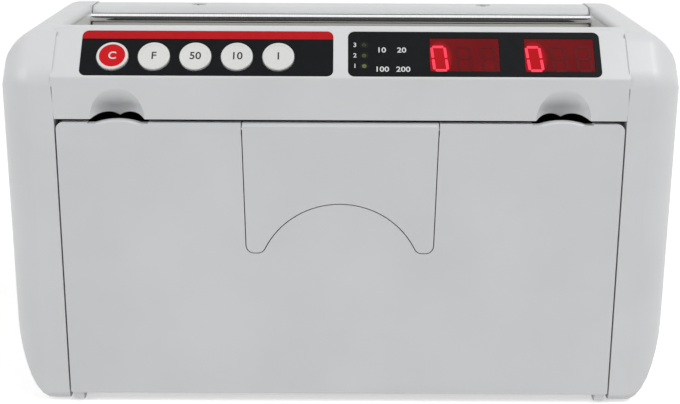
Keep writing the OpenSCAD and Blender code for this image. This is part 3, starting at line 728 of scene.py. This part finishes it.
INK_BLACK = linear(15, 17, 19)
keypad_film = printed_film("keypad_film", INK_BLACK, linear(184, 24, 30))
display_film = printed_film("display_film", INK_BLACK)
keypad_label = fine_copy("keypad_label", "keypad_label_film", 0.00005, 1)
finish(keypad_label, "label_black", keypad_film)
display_label = fine_copy("display_label", "display_label_film", 0.00005, 1)
finish(display_label, "label_black", display_film)


# Display windows: two dyed acrylic filters set flush in the display label. The
# seven-bar figures of the digit modules show through them, and round the lit ones
# a painted glow is put on the acrylic as emission.
def filter_acrylic(name, colour):
    """Dyed acrylic with a polished face."""
    skin, nodes, links, shader, place = new_skin(name)
    depth = noise(nodes, links, place, 90, 1)
    links.new(
        tinted(nodes, links, depth, shade(colour, 0.9), shade(colour, 1.1)),
        shader.inputs["Base Color"],
    )
    links.new(
        between(nodes, links, noise(nodes, links, place, 700), 0.05, 0.09),
        shader.inputs["Roughness"],
    )
    shader.inputs["Specular IOR Level"].default_value = 0.08
    bumped(nodes, links, shader, noise(nodes, links, place, 260), 0.03, 0.00002)
    return skin


red_filter = filter_acrylic("red_filter", linear(114, 18, 22))
filters = fine_copy("display_filters", "display_filters_acrylic", 0.0001)
finish(filters, "red_filter", red_filter)


def glowing(name, colour, strength, base):
    """A lit figure: dyed base with an even glow."""
    skin, nodes, links, shader, place = new_skin(name)
    cloud = noise(nodes, links, place, 1600)
    links.new(
        tinted(nodes, links, cloud, shade(base, 0.9), shade(base, 1.1)),
        shader.inputs["Base Color"],
    )
    links.new(between(nodes, links, cloud, 0.3, 0.4), shader.inputs["Roughness"])
    shader.inputs["Specular IOR Level"].default_value = 0.1
    links.new(
        tinted(nodes, links, cloud, shade(colour, 0.92), shade(colour, 1.08)),
        shader.inputs["Emission Color"],
    )
    shader.inputs["Emission Strength"].default_value = strength
    return skin


DIGIT_HIGH = 0.0083
DIGIT_WIDE = 0.00395
BAR = 0.00085
BAR_DEEP = 0.00008
BAR_GAP = 0.0004
FILTER_FACE = -0.00005
lit_red = glowing("lit_red", linear(255, 74, 98), 0.95, linear(150, 20, 30))
dim_red = glowing("dim_red", linear(120, 12, 14), 0.04, linear(92, 17, 20))


def digit_bar(name, length):
    """One bar of a figure: a six-sided prism with pointed ends, drawn out."""
    bpy.ops.mesh.primitive_cylinder_add(
        vertices=6, radius=BAR / math.sqrt(3), depth=BAR_DEEP
    )
    bar = bpy.context.object
    bar.name = name
    bpy.ops.object.mode_set(mode="EDIT")
    for way in (1, -1):
        pick(bar, "VERT", lambda v, way=way: v.co.y * way > 1e-6)
        stretch = (length - BAR * 2 / math.sqrt(3)) / 2
        bpy.ops.transform.translate(value=(0, way * stretch, 0))
    bpy.ops.object.mode_set(mode="OBJECT")
    return bar


LEAN = math.radians(5.5)
HALF = DIGIT_HIGH / 2
BARS = {
    "a": (0, HALF, 90),
    "b": (DIGIT_WIDE / 2, HALF / 2, 0),
    "c": (DIGIT_WIDE / 2, -HALF / 2, 0),
    "d": (0, -HALF, 90),
    "e": (-DIGIT_WIDE / 2, -HALF / 2, 0),
    "f": (-DIGIT_WIDE / 2, HALF / 2, 0),
    "g": (0, 0, 90),
}


def figure(name, bars, across, up):
    """A seven-bar figure leaning back to the left, its bars in one mesh."""
    made = []
    for letter in bars:
        x, y, turn = BARS[letter]
        length = (DIGIT_WIDE if turn else HALF) - BAR_GAP
        bar = digit_bar(f"{name}_{letter}", length)
        bar.rotation_euler = (0, 0, math.radians(turn) if turn else LEAN)
        bar.location = (x - math.tan(LEAN) * y, y, 0)
        alone(bar)
        bpy.ops.object.transform_apply(location=True, rotation=True, scale=True)
        made.append(bar)
    bpy.ops.object.select_all(action="DESELECT")
    for bar in made:
        bar.select_set(True)
    bpy.context.view_layer.objects.active = made[0]
    bpy.ops.object.join()
    joined = bpy.context.object
    joined.name = name
    on_slope(joined, across, up, FILTER_FACE + BAR_DEEP / 4)
    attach(joined, "housing")
    return joined


DIGIT_PITCH = 0.0074
DIGIT_UP = 0.00715
LIT = {"batch": 0.0298, "count": 0.0584}
PAINTED_HALO_SIZE = (0.0040, 0.0066, 0.0066)
PAINTED_HALO_MOST = 0.42
PAINTED_HALO_STRENGTH = 0.75


def painted_halo(nodes, links, place, across):
    """Painted glow: emission on the filter round a lit figure, fading outwards."""
    centred = nodes.new("ShaderNodeMapping")
    centred.vector_type = "TEXTURE"
    centred.inputs["Location"].default_value = KNEE + Vector(
        (across, DIGIT_UP * math.cos(SLOPE), DIGIT_UP * math.sin(SLOPE))
    )
    centred.inputs["Rotation"].default_value = (SLOPE, 0, 0)
    centred.inputs["Scale"].default_value = PAINTED_HALO_SIZE
    links.new(place, centred.inputs["Vector"])
    fade = nodes.new("ShaderNodeTexGradient")
    fade.gradient_type = "SPHERICAL"
    links.new(centred.outputs["Vector"], fade.inputs["Vector"])
    return fade.outputs["Fac"]


# Painted glow on the red filter: emission brightest round each lit figure, fading
# outwards.
nodes, links = red_filter.node_tree.nodes, red_filter.node_tree.links
place = nodes.new("ShaderNodeTexCoord").outputs["Object"]
glow = reckoned(
    nodes, links, "ADD", *(painted_halo(nodes, links, place, across) for across in LIT.values())
)
glow = reckoned(nodes, links, "MINIMUM", glow, PAINTED_HALO_MOST)
glow = reckoned(nodes, links, "MULTIPLY", glow, PAINTED_HALO_STRENGTH)
shader = nodes["Principled BSDF"]
shader.inputs["Emission Color"].default_value = linear(255, 8, 30)
links.new(glow, shader.inputs["Emission Strength"])
for side, first in LIT.items():
    zero = figure(f"{side}_figure_lit", "abcdef", first, DIGIT_UP)
    finish(zero, "red_filter", lit_red)
    for step in (1, 2):
        spare = figure(
            f"{side}_figure_dim_{step}", "abcdefg", first + step * DIGIT_PITCH, DIGIT_UP
        )
        finish(spare, "red_filter", dim_red)

# Level lamps: three green light-emitting diodes, each in a black moulded collar,
# that look out through holes in the display label. Plain numbers in white ink are
# printed beside them and further along the label.
LAMP_ACROSS = 0.0071
LAMPS_UP = (0.00435, 0.00805, 0.0118)
COLLAR_R = 0.00098
COLLAR_THICK = 0.0003
COLLAR_PROUD = 0.25
lamp_skins = [
    glowing(f"lamp_green_{step}", linear(150, 165, 90), strength, linear(48, 54, 32))
    for step, strength in enumerate((0.32, 0.12, 0.02))
]
lamps = fine_copy("level_lamps", "level_lamps_lenses", 0)
finish(lamps, "lamp_green", *lamp_skins)
for face in lamps.data.polygons:
    up = (face.center - KNEE).z / math.sin(SLOPE)
    face.material_index = min(range(3), key=lambda step: abs(up - LAMPS_UP[step]))
collar_black = moulded(
    "collar_black", INK_BLACK, 0.5, 5200, 0.00001, 0.08, 0.03, 0.15
)
for step, up in enumerate(LAMPS_UP):
    bpy.ops.object.select_all(action="DESELECT")
    bpy.ops.mesh.primitive_torus_add(
        major_radius=COLLAR_R,
        minor_radius=COLLAR_THICK,
        major_segments=40,
        minor_segments=12,
    )
    collar = bpy.context.object
    collar.name = f"lamp_collar_{step + 1}"
    collar.scale = (1, 1, COLLAR_PROUD)
    bpy.ops.object.transform_apply(location=True, rotation=True, scale=True)
    bpy.ops.object.shade_smooth()
    on_slope(collar, LAMP_ACROSS, up)
    finish(collar, "label_black", collar_black)
    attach(collar, "housing")


def lettering(name, words, size, across, up, out, skin, body, slot, stretch=1.0):
    """Printed figures laid flat on the panel."""
    printed = flat_text(name, words, size)
    printed.scale = (stretch, 1, 1)
    on_slope(printed, across, up, out)
    finish(printed, slot, skin)
    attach(printed, body)


def label_mark(name, words, size, across, up, stretch=1.0):
    """White figures on the display label."""
    lettering(
        name, words, size, across, up, INK_THICK,
        white_ink, "housing", "label_black", stretch,
    )


LEVEL_SIZE, LEVEL_ACROSS = 0.0021, 0.0043
for number, up in zip("321", reversed(LAMPS_UP)):
    label_mark(f"level_mark_{number}", number, LEVEL_SIZE, LEVEL_ACROSS, up)
MARK_SIZE, MARK_STRETCH = 0.0025, 1.15
for words, across, up in (
    ("10", 0.0123, 0.0100),
    ("20", 0.0184, 0.0100),
    ("100", 0.0124, 0.0032),
    ("200", 0.0188, 0.0032),
):
    label_mark(f"panel_mark_{words}", words, MARK_SIZE, across, up, MARK_STRETCH)

# Keys: five round caps moulded in ABS that slide in the panel, each on a small
# push switch. The clear key has a red dish in a pale ring.
KEY_R = 0.0048
KEY_UP = 0.0074
KEY_OUT = 0.0006
KEY_ROUND = 0.0004
FLANGE_R = 0.0057
FLANGE_THICK = 0.001
FLANGE_MIDDLE = -0.003
STEM_R = 0.0015
STEM_LONG = 0.0029
RING_WIDE = 0.00045
DISH_EDGE, DISH_STEP = 0.00016, 0.00012
DISH_SLOPE, DISH_DEEP = 0.0012, 0.00005
FIGURE_SIZE = 0.0036
FIGURE_SUNK = 0.00016
key_grey = moulded("key_grey", linear(218, 219, 217), 0.30, 5200, 0.00001, 0.08, 0.02)
key_red = moulded(
    "key_red", linear(204, 12, 20), 0.42, 5200, 0.00001, 0.08, 0.03, 0.2
)
black_ink = moulded("black_ink", linear(40, 40, 42), 0.5, 6000, 0.00001, 0.1, 0.05)


def end_face(face, way, height):
    """The one many-sided face that closes the cap on that side."""
    flat = face.normal.z * way > 0.99 and len(face.verts) > 20
    return flat and face.calc_center_median().z * way > height


def key_cap(node, across, words, dish, ink):
    """Flange, skirt and dished top drawn up from one disc, and the stem below."""
    bpy.ops.object.select_all(action="DESELECT")
    bpy.ops.mesh.primitive_cylinder_add(
        vertices=72,
        radius=FLANGE_R,
        depth=FLANGE_THICK,
        location=(0, 0, FLANGE_MIDDLE),
    )
    cap = bpy.context.object
    cap.name = f"{node}_cap"
    bpy.ops.object.transform_apply(location=True, rotation=False, scale=False)
    bpy.ops.object.mode_set(mode="EDIT")
    pick(cap, "FACE", lambda f: end_face(f, 1, FLANGE_MIDDLE))
    bpy.ops.mesh.inset(thickness=FLANGE_R - KEY_R)
    skirt = KEY_OUT - FLANGE_MIDDLE - FLANGE_THICK / 2
    bpy.ops.mesh.extrude_region_move(
        TRANSFORM_OT_translate={"value": (0, 0, skirt)}
    )
    pick(cap, "EDGE", lambda e: all(v.co.z > KEY_OUT - KEY_ROUND / 2 for v in e.verts))
    bpy.ops.mesh.bevel(offset=KEY_ROUND, segments=5, profile=0.6)
    pick(cap, "FACE", lambda f: end_face(f, 1, KEY_OUT - KEY_ROUND / 4))
    bpy.ops.mesh.inset(thickness=RING_WIDE)
    for wide, deep in ((DISH_EDGE, DISH_STEP), (DISH_SLOPE, DISH_DEEP)):
        bpy.ops.mesh.inset(thickness=wide)
        bpy.ops.transform.translate(value=(0, 0, -deep))
    pick(cap, "FACE", lambda f: end_face(f, -1, -FLANGE_MIDDLE))
    bpy.ops.mesh.inset(thickness=FLANGE_R - STEM_R)
    bpy.ops.mesh.extrude_region_move(
        TRANSFORM_OT_translate={"value": (0, 0, -STEM_LONG)}
    )
    bpy.ops.object.mode_set(mode="OBJECT")
    bpy.ops.object.shade_smooth_by_angle(angle=math.radians(34))
    finish(cap, "key_red" if dish is key_red else "key_grey", key_grey, dish)
    for face in cap.data.polygons:
        inner = face.center.xy.length < KEY_R - KEY_ROUND - RING_WIDE - SLIVER
        face.material_index = 1 if inner and face.center.z > KEY_OUT / 2 else 0
    on_slope(cap, across, KEY_UP)
    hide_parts(node)
    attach(cap, home[node])
    lettering(
        f"{node}_figure", words, FIGURE_SIZE, across, KEY_UP, KEY_OUT - FIGURE_SUNK,
        ink, home[node], "key_grey",
    )


KEY_FIRST = -0.06875
KEY_PITCH = 0.0125
for step, (node, words, dish, ink) in enumerate(
    (
        ("clear_key", "C", key_red, white_ink),
        ("function_key", "F", key_grey, black_ink),
        ("fifty_key", "50", key_grey, black_ink),
        ("ten_key", "10", key_grey, black_ink),
        ("one_key", "1", key_grey, black_ink),
    )
):
    key_cap(node, KEY_FIRST + step * KEY_PITCH, words, dish, ink)

# Tray door: the front wall, moulded in pale ABS, that drops forward to make the
# catch tray. It turns on two steel pins at its lower corners, and two bumps on its
# top edge rise into the scoops.
BUMP_REACH = 0.0056
BUMP_FOOT = 0.09155
BUMP_GROWTH = 1.35
BUMP_ROUND = 0.0007
HAIR = 0.00005


def soften(obj, test, width, segments=4, angle=10):
    """Rounds a chosen run of edges wide, as where the tool is blended."""
    alone(obj)
    bpy.ops.object.mode_set(mode="EDIT")
    pick(
        obj,
        "EDGE",
        lambda e: len(e.link_faces) == 2
        and math.degrees(e.calc_face_angle()) > angle
        and all(test(v.co) for v in e.verts),
    )
    bpy.ops.mesh.bevel(offset=width, segments=segments, profile=0.5, clamp_overlap=True)
    bpy.ops.object.mode_set(mode="OBJECT")


def on_bump(point):
    """Tells whether a point is on the front of one of the two bumps."""
    beside = abs(abs(point.x) - SCOOP_ACROSS) < BUMP_REACH * BUMP_GROWTH
    return beside and point.z > BUMP_FOOT - 3 * HAIR and point.y < FRONT + 2 * HAIR


door_grey = moulded("door_grey", linear(211, 212, 214), 0.42)
door = whole_copy("tray_door", "tray_door_moulding")
bpy.ops.object.mode_set(mode="EDIT")
for across in (-SCOOP_ACROSS, SCOOP_ACROSS):
    pick(
        door,
        "VERT",
        lambda v, across=across: abs(v.co.x - across) < BUMP_REACH
        and v.co.z > BUMP_FOOT,
    )
    bpy.ops.transform.resize(value=(BUMP_GROWTH, 1, 1), center_override=(across, 0, 0))
bpy.ops.object.mode_set(mode="OBJECT")
soften(door, on_bump, BUMP_ROUND)
ease(door, 0.0003)
finish(door, "door_plastic", door_grey)
pins = fine_copy("door_hinge_pins", "door_hinge_pins_steel", 0.0002)
finish(pins, "steel", ground_steel)

# Note stop: the flap with an arched lower edge that folds out of the door to hold
# the stack of notes. It turns on two short pins at the door's top edge.
stop = fine_copy("note_stop", "note_stop_moulding", 0.0003)
finish(stop, "door_plastic", door_grey)
stop_pins = fine_copy("stop_hinge_pins", "stop_hinge_pins_steel", 0.0002)
finish(stop_pins, "steel", ground_steel)

# Side covers: the two deep pillow-edged mouldings that close the ends of the
# case. Countersunk screws hold them, put through the frames into their bosses.
HOPPER_ENDS = (-0.0292, 0.0206)
COVER_TOP = 0.1178
MOUTH_ROUND = 0.0018


def by_mouth(point):
    """Tells whether a point is on the cover's top edge beside the hopper."""
    inner = abs(point.x) < HALF_BAY + HAIR and point.z > COVER_TOP
    return inner and HOPPER_ENDS[0] - HAIR < point.y < HOPPER_ENDS[1] + HAIR


for side in ("left", "right"):
    cover = whole_copy(f"{side}_side_cover", f"{side}_side_cover_moulding")
    bpy.ops.object.mode_set(mode="EDIT")
    for cut in HOPPER_ENDS:
        bpy.ops.mesh.select_all(action="SELECT")
        bpy.ops.mesh.bisect(plane_co=(0, cut, 0), plane_no=(0, 1, 0))
    bpy.ops.object.mode_set(mode="OBJECT")
    soften(cover, by_mouth, MOUTH_ROUND, 6, 30)
    ease(cover, 0.00015)
    finish(cover, "shell", shell_grey)

# Studio: a pale floor under soft light from both sides, and a dark card that only
# reflections see, a painted dark reflection in the polished rod. The camera is a
# little over the panel's height, square to the front.
FLOOR_SIZE = 8.0
FLOOR_LIFT = 0.56
FLOOR_TONES = ((0.75, 0.75, 0.75, 1), (0.77, 0.77, 0.77, 1))
ROOM_LIGHT = 0.42
CASE_MIDDLE = Vector((0, 0, 0.06))
CARD_AT = (0, -0.56, 0.585)
CARD_SIZE = (0.66, 0.91, 1)
CAMERA_AT = (0, -0.4261, 0.1784)
CAMERA_TILT = 73.65
CAMERA_ROLL = 0.25
CAMERA_LENS = 68.03


def looked_at(nodes, links):
    """One where the camera looks, straight, by a mirror or through glass."""
    path = nodes.new("ShaderNodeLightPath")
    rays = path.outputs["Is Camera Ray"]
    for kind in ("Is Glossy Ray", "Is Transmission Ray"):
        rays = reckoned(nodes, links, "MAXIMUM", rays, path.outputs[kind])
    return rays


bpy.ops.object.select_all(action="DESELECT")
bpy.ops.mesh.primitive_plane_add(size=FLOOR_SIZE, location=(0, 0, 0))
floor = bpy.context.object
floor.name = "studio_floor"
paper, nodes, links, shader, place = new_skin("studio_paper")
links.new(
    tinted(nodes, links, noise(nodes, links, place, 8), *FLOOR_TONES),
    shader.inputs["Base Color"],
)
shader.inputs["Roughness"].default_value = 0.9
shader.inputs["Specular IOR Level"].default_value = 0.0
lift = reckoned(nodes, links, "MULTIPLY", looked_at(nodes, links), FLOOR_LIFT)
shader.inputs["Emission Color"].default_value = (1, 1, 1, 1)
links.new(lift, shader.inputs["Emission Strength"])
floor.data.materials.append(paper)

world = bpy.data.worlds.new("studio_room")
bpy.context.scene.world = world
world.use_nodes = True
nodes, links = world.node_tree.nodes, world.node_tree.links
background = nodes["Background"]
background.inputs["Color"].default_value = (1, 1, 1, 1)
level = nodes.new("ShaderNodeMapRange")
level.inputs["To Min"].default_value = ROOM_LIGHT
level.inputs["To Max"].default_value = 1.0
links.new(looked_at(nodes, links), level.inputs["Value"])
links.new(level.outputs["Result"], background.inputs["Strength"])


def softbox(name, spot, size, power):
    """A square area lamp that looks at the middle of the case."""
    bpy.ops.object.light_add(type="AREA", location=spot)
    lamp = bpy.context.object
    lamp.name = name
    lamp.data.size = size
    lamp.data.energy = power
    aim = CASE_MIDDLE - Vector(spot)
    lamp.rotation_euler = aim.to_track_quat("-Z", "Y").to_euler()


# A dark card seen only by glossy rays: a painted dark reflection in the polished rod.
bpy.ops.object.select_all(action="DESELECT")
bpy.ops.mesh.primitive_plane_add(
    size=1, location=CARD_AT, rotation=(math.radians(90), 0, 0)
)
dark_card = bpy.context.object
dark_card.name = "studio_reflection_card"
dark_card.scale = CARD_SIZE
bpy.ops.object.transform_apply(location=True, rotation=True, scale=True)
dark_card.data.materials.append(moulded("reflection_card_cloth", linear(86, 88, 88), 0.9))
dark_card.visible_camera = False
dark_card.visible_diffuse = False
dark_card.visible_shadow = False
dark_card.visible_transmission = False
softbox("key_softbox", (0.92, -0.6, 1.4), 0.8, 13.8)
softbox("left_softbox", (-1.2, -0.7, 0.8), 0.9, 7)

bpy.ops.object.camera_add(location=CAMERA_AT)
camera = bpy.context.object
tilt = Matrix.Rotation(math.radians(CAMERA_TILT), 3, "X")
roll = Matrix.Rotation(math.radians(CAMERA_ROLL), 3, "Z")
camera.rotation_euler = (tilt @ roll).to_euler()
camera.data.sensor_width = 36
camera.data.lens = CAMERA_LENS
camera.data.clip_start = 0.01
bpy.context.scene.camera = camera
bpy.context.scene.view_settings.view_transform = "Standard"
